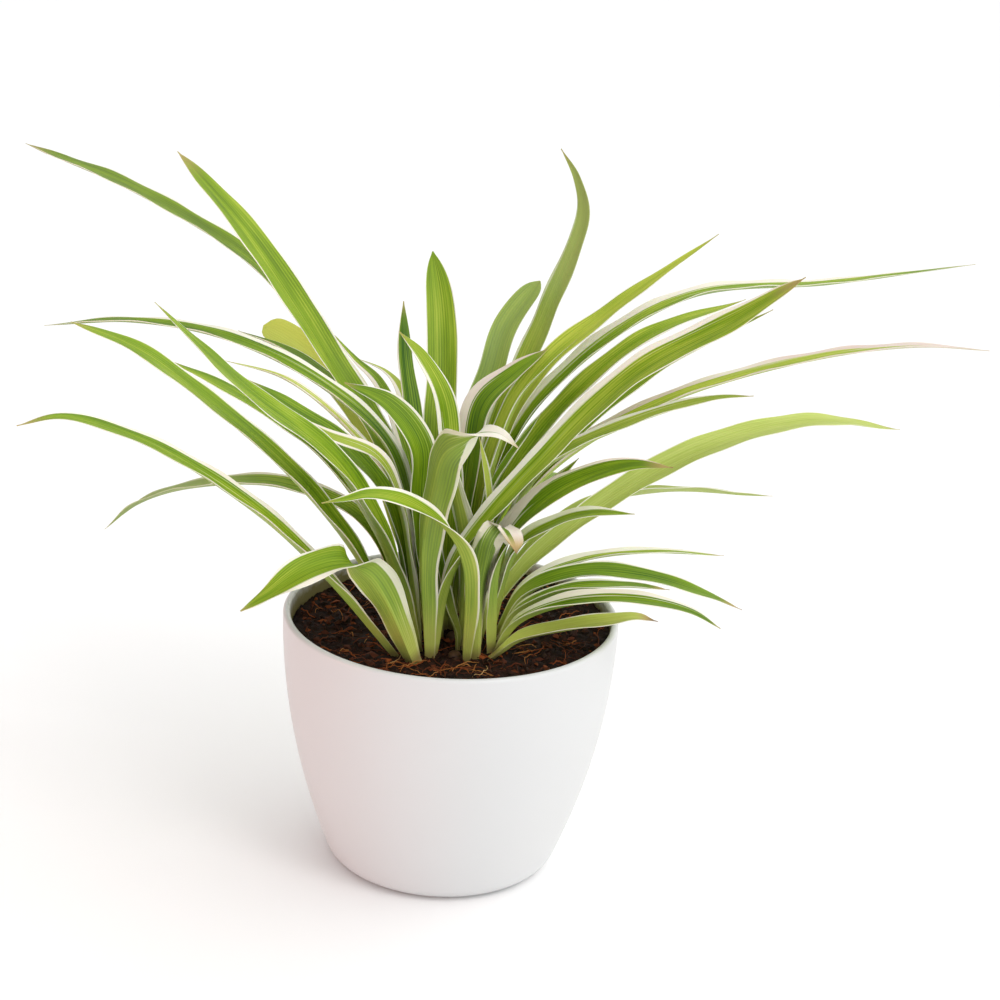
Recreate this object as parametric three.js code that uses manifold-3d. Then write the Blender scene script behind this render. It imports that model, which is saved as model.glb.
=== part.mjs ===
// A variegated spider plant growing in a white moulded pot.
// Millimetres, +Z up. The origin is the middle of the pot's underside, which stands on z = 0.
// The pot holds a fill of coir soil, four short crowns stand in the soil, and the strap leaves
// fan out from them: some arch far to the left and right, some lean back, a few curl forward.
import * as THREE from "three";
import { mergeVertices } from "three/addons/utils/BufferGeometryUtils.js";
import Module from "manifold-3d";

const wasm = await Module();
wasm.setup();

// Driving dimensions of the pot
const POT_HEIGHT = 101;
const RIM_RADIUS = 63.5;
const FOOT_RADIUS = 45;          // where the rounded foot meets the side
const FOOT_HEIGHT = 6;
const SIDE_SWELL = 1.0;          // 0 would be a straight cone
const WALL = 2.8;
const FLOOR = 3;
const DRAIN_HOLE = { count: 4, radius: 4, ring: 24 };

// Driving dimensions of the soil and the crowns
const FIT_GAP = 0.3;             // air between pieces that rest in each other
const SOIL_HEIGHT = 93.6;        // on the pot's axis
const SOIL_TILT = 0.03;          // the soil lies a little higher on the right
const CRUMB_HEIGHT = 2.4;
const CRUMB_SEED = 7;
const CROWN = { radius: 2.6, rise: 3, depth: 18 };
const CROWN_PLACES = [
  { name: "crown_left", x: -15.5, y: -28 },
  { name: "crown_front", x: 2, y: -27 },
  { name: "crown_middle", x: 1, y: -9.5 },
  { name: "crown_back", x: 0, y: 4 },
];
const CLUMP = { x: -1, y: -6, reach: 31, fade: 8 };   // the soil is pressed smooth round the crowns

// Driving dimensions of the leaves
const BLADE = 0.8;               // thickness of a blade
const FOOT_SHARE = 0.42;         // width at the foot over the greatest width
const TIP_WIDTH = 1.4;
const WIDEST_AT = 0.45;          // share of the length where a blade is widest
const CHANNEL_AT_FOOT = 36;      // degrees that each half of the blade is raised
const CHANNEL_AT_TIP = 14;
const TWIST_OVER = [0.4, 0.8];   // shares of the length between which a twist comes
const STATION_STEP = 15;         // mean length of blade between two cross sections
const TWISTED_STEP = 8;          // the same in a blade that twists
const TIP_CROWDING = 0.6;        // 0 spaces them evenly, 1 crowds them towards the tip

// Each leaf: the greatest width, the roll of the blade about its midrib in degrees (positive
// raises the edge on the right of someone who looks from the foot to the tip), how late the
// blade tapers (2 is slender, 9 is blunt, 40 is cut square), the plan place of its foot on the
// soil, and the points that its midrib passes through up to the tip. Some have more: facing is
// a turn that the blade has from its foot on, twist is one that comes further out, between the
// shares in twistOver, and widest is the share of the length where it is widest.
const LEAVES = [
  { name: "left_01", width: 14, roll: -5, taper: 6.5, foot: [-8, 15],
    path: [[-31, 52, 150], [-80, 81, 206], [-129, 96, 232], [-180, 115, 247]] },
  { name: "left_02", width: 14, roll: 10, taper: 6, foot: [-11, 3],
    path: [[-28, 18, 155], [-49, 38, 183], [-84, 45, 232], [-112, 59, 259]] },
  { name: "left_03", width: 12, roll: 0, taper: 2.6, foot: [-10.5, -2],
    path: [[-26, 11, 159], [-50, 18, 180], [-88, 28, 195], [-127, 40, 197], [-162, 52, 190]] },
  { name: "left_04", width: 13, roll: 15, taper: 4.5, foot: [-19, -21],
    path: [[-34, -22, 127], [-61, -30, 164], [-97, -36, 197], [-115, -38, 210], [-136, -40, 219]] },
  { name: "left_05", width: 15, roll: 30, taper: 2, foot: [-13, -21],
    path: [[-24, -24, 132], [-44, -36, 170], [-75, -54, 202], [-103, -70, 236]] },
  { name: "left_06", width: 11, roll: 15, taper: 3.2, foot: [-16, -15],
    path: [[-26, -12, 129], [-50, -14, 165], [-79, -20, 188], [-105, -26, 203]] },
  { name: "left_07", width: 7, roll: -5, taper: 2.6, foot: [-13.5, -2.5],
    path: [[-27, 2, 152], [-43, 3, 172], [-65, 8, 187], [-89, 12, 192]] },
  { name: "left_08", width: 11, roll: 25, taper: 4.5, foot: [-13.5, -9],
    path: [[-27, -8, 149], [-45, -9, 170], [-62, -12, 182], [-77, -14, 193]] },
  { name: "left_09", width: 12, roll: 20, taper: 2.4, foot: [-21, -27],
    path: [[-45, -36, 126], [-69, -50, 155], [-105, -70, 186], [-132, -84, 199], [-145, -92, 198]] },
  { name: "left_10", width: 12, roll: 5, taper: 3, foot: [-17.5, -9],
    path: [[-32, 2, 131], [-64, 22, 139], [-105, 48, 128], [-128, 61, 115], [-142, 70, 100]] },
  { name: "left_11", width: 10, roll: 20, taper: 2.6, foot: [-12, -15],
    path: [[-21, -15, 148], [-30, -20, 168], [-48, -24, 177], [-63, -28, 187]] },
  { name: "left_12", width: 12, roll: 30, taper: 40, foot: [-11, 9],
    path: [[-35, 41, 157], [-60, 57, 182], [-70, 63, 187], [-79, 67, 190]] },
  { name: "left_13", width: 10, roll: -10, taper: 2.8, foot: [-14.5, 3],
    path: [[-28, 30, 154], [-55, 44, 179], [-71, 49, 187], [-88, 58, 190]] },
  { name: "left_14", width: 9, roll: -10, taper: 2.6, foot: [-6, 10.5],
    path: [[-23, 44, 153], [-33, 50, 174], [-42, 55, 181], [-52, 60, 191]] },
  { name: "left_15", width: 9, roll: -15, taper: 2.6, foot: [-4, 15],
    path: [[-20, 55, 154], [-25, 63, 168], [-31, 69, 173], [-42, 75, 176]] },
  { name: "left_16", width: 14, roll: 35, taper: 3, foot: [-8, -9],
    path: [[-14, -7, 148], [-15, -6, 169], [-26, -4, 183], [-43, -2, 190]] },
  { name: "front_01", width: 17, roll: 0, facing: -60, twist: 80, twistOver: [0.45, 0.6], widest: 0.5,
    taper: 2.2, foot: [-13, -34],
    path: [[-24, -42, 122], [-31, -48, 134], [-39, -54, 140], [-50, -60, 139], [-63, -66, 132],
      [-73, -71, 127]] },
  { name: "centre_01", width: 9, roll: -15, taper: 4, foot: [-6, 4],
    path: [[-15, 9, 154], [-20, 28, 176], [-23, 38, 191], [-24, 48, 208]] },
  { name: "centre_02", width: 13, roll: 10, taper: 7.5, foot: [-2, 10],
    path: [[-8, 28, 159], [-8, 42, 182], [-10, 56, 205], [-14, 68, 223]] },
  { name: "centre_03", width: 12, roll: 25, taper: 3, foot: [-3.5, -3],
    path: [[-4, -2, 154], [-7, 4, 183], [-15, 6, 198], [-24, 6, 208]] },
  { name: "centre_04", width: 5, roll: 15, taper: 3, foot: [-3.5, -9],
    path: [[-7, -12, 126], [-6, -12, 162], [-6, -12, 173], [-7, -12, 184]] },
  { name: "centre_05", width: 15, roll: 0, facing: 80, twist: -100, twistOver: [0.7, 0.9], widest: 0.65,
    taper: 2, foot: [-8.5, -28],
    path: [[-11, -36, 140], [-8, -43, 166], [-5, -48, 180], [1, -53, 187],
      [8, -58, 192], [14, -62, 193], [20, -66, 190]] },
  { name: "centre_06", width: 11, roll: 0, taper: 3, foot: [3.5, -15.5],
    path: [[4, -20, 118], [3, -20, 138], [-1, -22, 158], [-4, -24, 173]] },
  { name: "centre_07", width: 6, roll: -40, taper: 2.6, foot: [5.5, -20.5],
    path: [[11, -28, 129], [13, -23, 149], [11, -23, 164], [7, -27, 180]] },
  { name: "centre_09", width: 11, roll: 0, twist: 50, widest: 0.35, taper: 2, foot: [5.5, -30.5],
    path: [[4, -43, 136], [-2, -48, 151], [-13, -54, 162], [-22, -60, 168],
      [-31, -64, 170], [-38, -67, 169], [-46, -70, 168]] },
  { name: "centre_10", width: 12, roll: -5, twist: 25, widest: 0.65, taper: 8, foot: [10.5, -28],
    path: [[10, -29, 114], [11, -33, 132], [14, -41, 148], [17, -39, 150], [20, -43, 148], [22, -47, 144]] },
  { name: "centre_11", width: 7, roll: 5, taper: 2.6, foot: [2.5, -21],
    path: [[2, -20, 101], [-2, -20, 112], [-6, -18, 129], [-8, -17, 150]] },
  { name: "right_01", width: 13, roll: 25, taper: 2.3, foot: [7, 12],
    path: [[15, 32, 159], [32, 54, 204], [44, 72, 239], [41, 78, 252], [34, 86, 262]] },
  { name: "right_02", width: 11, roll: 0, taper: 20, foot: [6, 5],
    path: [[4, 22, 162], [11, 34, 185], [16, 46, 201], [28, 58, 216]] },
  { name: "right_03", width: 15, roll: -10, taper: 4, foot: [1.5, -1.5],
    path: [[5, 4, 160], [8, 10, 181], [19, 13, 192], [31, 17, 201]] },
  { name: "right_04", width: 13, roll: -10, taper: 1.7, foot: [5.5, -3],
    path: [[15, 6, 164], [28, 14, 191], [53, 23, 214], [93, 37, 243]] },
  { name: "right_05", width: 12, roll: 0, taper: 1.6, foot: [7.5, -1.5],
    path: [[19, 8, 164], [41, 18, 193], [83, 39, 217], [141, 65, 219], [202, 91, 223]] },
  { name: "right_06", width: 14, roll: -35, taper: 5, foot: [-5, -25.5],
    path: [[1, -28, 130], [31, -32, 174], [61, -38, 210], [94, -46, 234], [114, -52, 251]] },
  { name: "right_07", width: 12, roll: -10, taper: 2.6, foot: [11.5, -2],
    path: [[19, 5, 149], [33, 12, 173], [65, 10, 208], [104, 27, 221]] },
  { name: "right_08", width: 9, roll: -15, taper: 2.4, foot: [8.5, -10.5],
    path: [[16, -3, 140], [37, -6, 169], [73, 1, 201], [111, 0, 225]] },
  { name: "right_09", width: 11, roll: 0, taper: 2.6, foot: [15, -3],
    path: [[21, 1, 138], [37, -4, 163], [74, 6, 185], [125, 16, 201], [168, 24, 207], [198, 30, 205]] },
  { name: "right_10", width: 12, roll: -15, taper: 2.4, foot: [12, -9],
    path: [[21, -10, 139], [31, -21, 167], [64, -26, 189], [88, -38, 202], [101, -45, 206]] },
  { name: "right_11", width: 15, roll: -10, taper: 2.8, foot: [13, 4],
    path: [[26, 16, 110], [56, 34, 132], [99, 58, 151], [142, 80, 157], [181, 98, 150]] },
  { name: "right_12", width: 11, roll: 15, taper: 2.8, foot: [11, 11],
    path: [[26, 28, 110], [49, 46, 127], [81, 62, 131], [129, 82, 124]] },
  { name: "right_13", width: 14, roll: -40, taper: 2, foot: [16.5, -21],
    path: [[18, -28, 138], [33, -32, 160], [50, -39, 173], [62, -43, 178], [75, -47, 179]] },
  { name: "right_14", width: 9, roll: -20, taper: 2.6, foot: [15.5, -9],
    path: [[24, -10, 132], [37, -12, 143], [49, -16, 149], [65, -20, 151]] },
  { name: "right_15", width: 7, roll: 0, taper: 2.6, foot: [18, -3],
    path: [[29, 4, 112], [48, 12, 119], [75, 20, 121], [105, 30, 117]] },
  { name: "right_16", width: 12, roll: -10, taper: 2.1, foot: [18.5, -9],
    path: [[27, -7, 111], [45, -4, 119], [70, -2, 119], [95, -1, 113], [110, 0, 107]] },
  { name: "right_17", width: 9, roll: 0, taper: 2.6, foot: [18.5, -15],
    path: [[25, -17, 109], [40, -20, 119], [63, -26, 125], [79, -30, 126]] },
  { name: "right_18", width: 11, roll: -10, taper: 2.1, foot: [18, -21.5],
    path: [[25, -25, 108], [42, -32, 119], [67, -42, 126], [86, -48, 125], [96, -52, 121]] },
  { name: "right_19", width: 10, roll: -5, taper: 4, foot: [17, -27],
    path: [[26, -27, 102], [42, -27, 107], [59, -27, 111], [68, -27, 113], [76, -27, 112]] },
  { name: "right_20", width: 5, roll: 25, taper: 2.6, foot: [5.5, -9],
    path: [[12, -4, 156], [21, 0, 186], [31, 2, 199], [41, 4, 209]] },
  { name: "right_21", width: 8, roll: -20, taper: 2.6, foot: [8.5, -14.5],
    path: [[12, -15, 152], [19, -16, 169], [25, -18, 180], [29, -19, 188]] },
  { name: "right_22", width: 9, roll: -30, taper: 4, foot: [11.5, -15],
    path: [[18, -18, 136], [27, -24, 152], [36, -25, 164], [43, -27, 174]] },
  { name: "back_01", width: 11, roll: 0, taper: 2.6, foot: [3, 16],
    path: [[4, 38, 122], [8, 68, 138], [12, 96, 132]] },
  { name: "back_02", width: 12, roll: 0, taper: 2.6, foot: [-3, 22],
    path: [[-8, 45, 124], [-18, 70, 138], [-28, 94, 132]] },
  { name: "back_03", width: 10, roll: 0, taper: 2.6, foot: [10, 17],
    path: [[20, 38, 122], [36, 62, 134], [52, 84, 126]] },
];

const material = (color, roughness) => new THREE.MeshStandardMaterial({ color, roughness, metalness: 0 });
const POT_PLASTIC = material(0xeeedeb, 0.38);
const COIR_SOIL = material(0x2e1c14, 0.95);
const CROWN_TISSUE = material(0x4b2f1a, 0.75);
const LEAF_TISSUE = material(0x7fa53a, 0.5);
const PALE_LEAF_TISSUE = material(0xb3bd58, 0.5);
const PALE_LEAVES = ["right_11", "right_12", "right_19", "left_12"];

const degrees = (value) => value * Math.PI / 180;
const clamp = (value) => Math.min(1, Math.max(0, value));
const smooth = (value) => clamp(value) ** 2 * (3 - 2 * clamp(value));
const mix = (a, b, share) => a + (b - a) * share;

// The same draw of numbers on every run, between 0 and 1.
function seededRandom(seed) {
  let state = seed >>> 0;
  return () => {
    state = (Math.imul(state, 1664525) + 1013904223) >>> 0;
    return state / 4294967296;
  };
}

function toSolid(geometry) {
  const bare = geometry.clone();
  bare.deleteAttribute("normal");
  bare.deleteAttribute("uv");
  const merged = mergeVertices(bare, 1e-4);
  return new wasm.Manifold(new wasm.Mesh({
    numProp: 3,
    vertProperties: new Float32Array(merged.attributes.position.array),
    triVerts: new Uint32Array(merged.index.array),
  }));
}

function toGeometry(solid) {
  const mesh = solid.getMesh();
  const geometry = new THREE.BufferGeometry();
  geometry.setAttribute("position", new THREE.BufferAttribute(mesh.vertProperties, 3));
  geometry.setIndex(new THREE.BufferAttribute(mesh.triVerts, 1));
  geometry.computeVertexNormals();
  return geometry;
}

// A turned body about +Z from an outline of [radius, height] that starts and ends on the axis.
function turned(outline, segments) {
  const points = outline.map(([radius, height]) => new THREE.Vector2(radius, height));
  return new THREE.LatheGeometry(points, segments).rotateX(Math.PI / 2);
}

function rod(radius, bottom, top, x, y, segments) {
  const geometry = new THREE.CylinderGeometry(radius, radius, top - bottom, segments);
  return geometry.rotateX(Math.PI / 2).translate(x, y, (top + bottom) / 2);
}

// The pot's side: a cone that swells outward and grows steeper towards the rim.
function sideRadius(height) {
  const share = (height - FOOT_HEIGHT) / (POT_HEIGHT - FOOT_HEIGHT);
  return FOOT_RADIUS + (RIM_RADIUS - FOOT_RADIUS) * share * (1 + SIDE_SWELL * (1 - share));
}

const FOOT_LEAN = Math.atan((RIM_RADIUS - FOOT_RADIUS) * (1 + SIDE_SWELL) / (POT_HEIGHT - FOOT_HEIGHT));
const LIP = WALL / 2;            // the rim is rounded over the wall

function arc(centreRadius, centreHeight, radius, from, to, steps) {
  const points = [];
  for (let i = 0; i <= steps; i += 1) {
    const angle = mix(from, to, i / steps);
    points.push([centreRadius + radius * Math.cos(angle), centreHeight + radius * Math.sin(angle)]);
  }
  return points;
}

// The rounded foot or the hollow inside it, from the flat floor up to the leaning side.
function footArc(inset, floorHeight, steps) {
  const height = FOOT_HEIGHT - floorHeight + inset * 0.6;
  const radius = height / (1 - Math.sin(FOOT_LEAN));
  const endAngle = -FOOT_LEAN;
  const centreRadius = sideRadius(floorHeight + height) - inset - radius * Math.cos(endAngle);
  return arc(centreRadius, floorHeight + radius, radius, -Math.PI / 2, endAngle, steps);
}

function sidePoints(from, to, steps, inset) {
  const points = [];
  for (let i = 1; i <= steps; i += 1) {
    const height = mix(from, to, i / steps);
    points.push([sideRadius(height) - inset, height]);
  }
  return points;
}

function potGeometry() {
  const lipHeight = POT_HEIGHT - LIP;
  const lipRadius = sideRadius(lipHeight) - LIP;
  const inner = footArc(WALL, FLOOR, 4);
  const outline = [
    [0, 0],
    ...footArc(0, 0, 5),
    ...sidePoints(FOOT_HEIGHT, lipHeight, 8, 0),
    ...arc(lipRadius, lipHeight, LIP, 0, Math.PI, 6).slice(1, -1),
    ...sidePoints(inner.at(-1)[1], lipHeight, 6, WALL).reverse(),
    ...inner.reverse(),
    [0, FLOOR],
  ];
  let solid = toSolid(turned(outline, 60));
  for (let i = 0; i < DRAIN_HOLE.count; i += 1) {
    const angle = degrees(45 + 360 * i / DRAIN_HOLE.count);
    const x = DRAIN_HOLE.ring * Math.cos(angle);
    const y = DRAIN_HOLE.ring * Math.sin(angle);
    solid = solid.subtract(toSolid(rod(DRAIN_HOLE.radius, -1, FLOOR + 1, x, y, 16)));
  }
  return toGeometry(solid);
}

// The level of the soil without its crumbs.
function soilLevel(x) {
  return SOIL_HEIGHT + SOIL_TILT * x;
}

function soilGeometry() {
  const rings = 12;
  const segments = 56;
  const edgeRadius = sideRadius(SOIL_HEIGHT) - WALL - FIT_GAP;
  const bottomHeight = FLOOR + FIT_GAP;
  const foot = footArc(WALL + FIT_GAP, bottomHeight, 3);
  const outline = [
    [0, bottomHeight],
    ...foot,
    ...sidePoints(foot.at(-1)[1], SOIL_HEIGHT, 5, WALL + FIT_GAP),
  ];
  const edgeIndex = outline.length - 1;
  for (let ring = rings - 1; ring >= 0; ring -= 1) {
    outline.push([edgeRadius * ring / rings, SOIL_HEIGHT]);
  }
  const geometry = turned(outline, segments);
  const random = seededRandom(CRUMB_SEED);
  const crumbs = Array.from({ length: segments * outline.length }, () => random() ** 2 * CRUMB_HEIGHT);
  const position = geometry.attributes.position;
  for (let i = 0; i < position.count; i += 1) {
    const point = i % outline.length;
    const segment = Math.floor(i / outline.length) % segments;
    if (point >= edgeIndex) {
      const x = position.getX(i);
      const y = position.getY(i);
      const away = smooth((Math.hypot(x - CLUMP.x, y - CLUMP.y) - CLUMP.reach) / CLUMP.fade);
      const onTop = point > edgeIndex && point < outline.length - 1;
      const crumb = onTop ? crumbs[segment * outline.length + point] : 0;
      position.setZ(i, soilLevel(x) + away * crumb);
    }
  }
  let solid = toSolid(geometry);
  for (const { x, y } of CROWN_PLACES) {
    const hole = rod(CROWN.radius + FIT_GAP, SOIL_HEIGHT - CROWN.depth - FIT_GAP, SOIL_HEIGHT + 5, x, y, 14);
    solid = solid.subtract(toSolid(hole));
  }
  return toGeometry(solid);
}

// A crown: the short rounded stub of root stock that the leaves of one tuft grow round.
function crownGeometry({ x, y }) {
  const bottom = SOIL_HEIGHT - CROWN.depth;
  const top = SOIL_HEIGHT + CROWN.rise;
  const outline = [
    [0, bottom],
    [CROWN.radius, bottom],
    [CROWN.radius, SOIL_HEIGHT],
    ...arc(0, top - CROWN.radius, CROWN.radius, 0, Math.PI / 2, 4).slice(0, -1),
    [0, top],
  ];
  return turned(outline, 12).translate(x, y, 0);
}

// Width of a blade at a share of its length: narrow at the foot, widest before the middle,
// then a long taper to the tip.
function bladeWidth(width, taper, widest, share) {
  const rise = mix(FOOT_SHARE, 1, Math.sin(clamp(share / widest) * Math.PI / 2));
  const fall = 1 - clamp((share - widest) / (1 - widest)) ** taper;
  return Math.max(TIP_WIDTH, width * rise * fall);
}

// A strap leaf: cross sections shaped like an open V stand along the midrib, each with three
// points on its upper face and three on its lower one.
function leafGeometry(leaf) {
  const { width, roll, facing = 0, twist = 0, twistOver = TWIST_OVER } = leaf;
  const { taper, widest = WIDEST_AT, foot, path } = leaf;
  const [footX, footY] = foot;
  const start = new THREE.Vector3(footX, footY, soilLevel(footX) + FIT_GAP + BLADE / 2);
  const curve = new THREE.CatmullRomCurve3([start, ...path.map((p) => new THREE.Vector3(...p))]);
  const step = twist ? TWISTED_STEP : STATION_STEP;
  const count = Math.max(9, Math.round(curve.getLength() / step)) + 1;
  const tip = curve.points.at(-1);
  const outward = new THREE.Vector3(tip.x - footX, tip.y - footY, 0).normalize();
  const level = new THREE.Vector3(outward.y, -outward.x, 0);
  const vertices = [];
  for (let i = 0; i < count; i += 1) {
    const even = i / (count - 1);
    const share = mix(even, Math.sin(even * Math.PI / 2), TIP_CROWDING);
    const centre = curve.getPointAt(share);
    const along = curve.getTangentAt(share);
    const side = level.clone().addScaledVector(along, -along.dot(level)).normalize();
    const twisted = smooth((share - twistOver[0]) / (twistOver[1] - twistOver[0]));
    const turn = facing + roll * smooth(share / 0.35) + twist * twisted;
    side.applyAxisAngle(along, -degrees(turn));
    const up = side.clone().cross(along);
    const half = bladeWidth(width, taper, widest, share) / 2;
    const channel = degrees(mix(CHANNEL_AT_FOOT, CHANNEL_AT_TIP, smooth(share)));
    const out = half * Math.cos(channel);
    const lift = half * Math.sin(channel);
    for (const [across, height] of [[-out, lift], [0, 0], [out, lift]]) {
      for (const face of [BLADE / 2, -BLADE / 2]) {
        const point = centre.clone().addScaledVector(side, across).addScaledVector(up, height + face);
        vertices.push(point.x, point.y, point.z);
      }
    }
  }
  return bladeSkin(vertices, count);
}

// Joins the cross sections. A section's points are numbered 0, 2, 4 on the upper face and
// 1, 3, 5 on the lower one, and both faces are split along the same diagonals.
function bladeSkin(vertices, count) {
  const triangles = [];
  const quad = (a, b, c, d) => triangles.push(a, b, c, a, c, d);
  for (let i = 0; i < count - 1; i += 1) {
    const here = i * 6;
    const next = here + 6;
    for (const edge of [0, 2]) {
      quad(here + edge, here + edge + 2, next + edge + 2, next + edge);
      triangles.push(here + edge + 1, next + edge + 3, here + edge + 3);
      triangles.push(here + edge + 1, next + edge + 1, next + edge + 3);
    }
    quad(here + 1, here, next, next + 1);
    quad(here + 4, here + 5, next + 5, next + 4);
  }
  const last = (count - 1) * 6;
  for (const edge of [0, 2]) {
    quad(edge, edge + 1, edge + 3, edge + 2);
    quad(last + edge + 2, last + edge + 3, last + edge + 1, last + edge);
  }
  const geometry = new THREE.BufferGeometry();
  geometry.setAttribute("position", new THREE.BufferAttribute(new Float32Array(vertices), 3));
  geometry.setIndex(triangles);
  geometry.computeVertexNormals();
  return geometry;
}

function addPiece(group, name, geometry, finish) {
  const mesh = new THREE.Mesh(geometry, finish);
  mesh.name = name;
  group.add(mesh);
}

const plant = new THREE.Group();
addPiece(plant, "pot", potGeometry(), POT_PLASTIC);
addPiece(plant, "soil", soilGeometry(), COIR_SOIL);
for (const place of CROWN_PLACES) {
  addPiece(plant, place.name, crownGeometry(place), CROWN_TISSUE);
}
for (const leaf of LEAVES) {
  const finish = PALE_LEAVES.includes(leaf.name) ? PALE_LEAF_TISSUE : LEAF_TISSUE;
  addPiece(plant, `leaf_${leaf.name}`, leafGeometry(leaf), finish);
}

export default plant;
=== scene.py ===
import math
import random

import bpy
import numpy as np
from mathutils import Matrix, Vector, noise


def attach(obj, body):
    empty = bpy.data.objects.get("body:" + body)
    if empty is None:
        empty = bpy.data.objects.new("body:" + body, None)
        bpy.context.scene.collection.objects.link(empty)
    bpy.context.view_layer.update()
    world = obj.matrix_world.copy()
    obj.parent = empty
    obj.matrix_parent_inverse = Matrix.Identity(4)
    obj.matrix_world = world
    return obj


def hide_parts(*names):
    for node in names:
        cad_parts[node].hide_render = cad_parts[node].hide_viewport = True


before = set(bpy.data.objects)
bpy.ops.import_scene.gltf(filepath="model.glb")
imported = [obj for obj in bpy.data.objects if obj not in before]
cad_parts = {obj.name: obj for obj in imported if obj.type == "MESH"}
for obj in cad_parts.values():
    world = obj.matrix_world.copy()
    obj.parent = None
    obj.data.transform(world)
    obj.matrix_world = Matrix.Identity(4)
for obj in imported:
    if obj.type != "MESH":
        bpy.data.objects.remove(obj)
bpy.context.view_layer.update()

# Pot. One injection-moulded polypropylene pot with a rounded foot, a side that swells as it
# leans out, and a rim rounded over the wall. Four drain holes are moulded through its floor.
MM = 0.001
SHARPEST_SMOOTH = math.radians(50)
POT_HEIGHT = 101
RIM_RADIUS = 63.5
FOOT_RADIUS = 45
FOOT_HEIGHT = 6
SIDE_SWELL = 1.0
WALL = 2.8
FLOOR = 3
DRAIN_HOLE = {"count": 4, "radius": 4, "ring": 24}
POT_SEGMENTS = 200
HOLE_SEGMENTS = 40
# Heights of the soil specks on the inner wall and of the painted shade there, which deepens towards the
# soil.
DUST_AND_SHADE_TOP = 100.3
DUST_AND_SHADE_MIDDLE = 97
DUST_AND_SHADE_DEEPEST = 94
DUST_AND_SHADE_BOTTOM = 90
POT_WHITE = "#d5d6d7"
POT_SHADED_WHITE = "#d2d2d2"
# Olive for the inner wall above the fill: soil specks, painted shade and a painted reflection of the
# leaves.
SOIL_DUST_AND_SHADE = "#8e8448"


def colour(hex_code):
    """The linear colour of an sRGB hex value, with full alpha."""
    channels = [int(hex_code[i:i + 2], 16) / 255 for i in (1, 3, 5)]
    linear = [c / 12.92 if c <= 0.04045 else ((c + 0.055) / 1.055) ** 2.4 for c in channels]
    return (*linear, 1.0)


def add_node(tree, kind, inputs=None, **settings):
    """Adds a shader node with its settings. An input takes a value, or a link from an output, or
    from the first output of a node."""
    made = tree.nodes.new("ShaderNode" + kind)
    for name, value in settings.items():
        setattr(made, name, value)
    for name, value in (inputs or {}).items():
        if isinstance(value, bpy.types.Node):
            tree.links.new(value.outputs[0], made.inputs[name])
        elif isinstance(value, bpy.types.NodeSocket):
            tree.links.new(value, made.inputs[name])
        else:
            made.inputs[name].default_value = value
    return made


def blank_material(name):
    """A material with an empty node tree."""
    material = bpy.data.materials.new(name)
    material.use_nodes = True
    material.node_tree.nodes.clear()
    return material, material.node_tree


def mesh_piece(name, vertices_mm, faces, material):
    """An object from points in millimetres, smooth shaded, at the origin of the frame."""
    mesh = bpy.data.meshes.new(name)
    mesh.from_pydata((np.asarray(vertices_mm, float) * MM).tolist(), [], faces)
    mesh.validate()
    mesh.shade_smooth()
    mesh.set_sharp_from_angle(angle=SHARPEST_SMOOTH)
    mesh.materials.append(material)
    piece = bpy.data.objects.new(name, mesh)
    bpy.context.scene.collection.objects.link(piece)
    return piece


def turned(outline, segments):
    """Points and faces of a body turned about the pot's axis. The outline starts and ends on it."""
    ring_points = outline[1:-1]
    vertices = [(0, 0, outline[0][1])]
    for k in range(segments):
        angle = 2 * math.pi * k / segments
        vertices += [(r * math.cos(angle), r * math.sin(angle), z) for r, z in ring_points]
    vertices.append((0, 0, outline[-1][1]))
    count = len(ring_points)
    last = len(vertices) - 1
    faces = []
    for k in range(segments):
        here = 1 + k * count
        there = 1 + (k + 1) % segments * count
        faces.append((0, there, here))
        for i in range(count - 1):
            faces.append((here + i, there + i, there + i + 1, here + i + 1))
        faces.append((here + count - 1, there + count - 1, last))
    return vertices, faces


def side_radius(height):
    """Radius of the pot's outside at a height, on the swelling side."""
    share = (height - FOOT_HEIGHT) / (POT_HEIGHT - FOOT_HEIGHT)
    return FOOT_RADIUS + (RIM_RADIUS - FOOT_RADIUS) * share * (1 + SIDE_SWELL * (1 - share))


def arc(centre_radius, centre_height, radius, start, end, steps):
    """Points of an outline on a round, from one angle to another."""
    angles = [start + (end - start) * i / steps for i in range(steps + 1)]
    return [(centre_radius + radius * math.cos(a), centre_height + radius * math.sin(a))
            for a in angles]


FOOT_LEAN = math.atan((RIM_RADIUS - FOOT_RADIUS) * (1 + SIDE_SWELL) / (POT_HEIGHT - FOOT_HEIGHT))


def foot_arc(inset, floor_height, steps):
    """The round from a flat floor up to the leaning side, for the outside or for the hollow."""
    height = FOOT_HEIGHT - floor_height + inset * 0.6
    radius = height / (1 - math.sin(FOOT_LEAN))
    centre_radius = side_radius(floor_height + height) - inset - radius * math.cos(FOOT_LEAN)
    return arc(centre_radius, floor_height + radius, radius, -math.pi / 2, -FOOT_LEAN, steps)


def side_points(low, high, steps, inset):
    """Points of an outline on the side, or inside it by the inset."""
    heights = [low + (high - low) * i / steps for i in range(1, steps + 1)]
    return [(side_radius(h) - inset, h) for h in heights]


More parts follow.
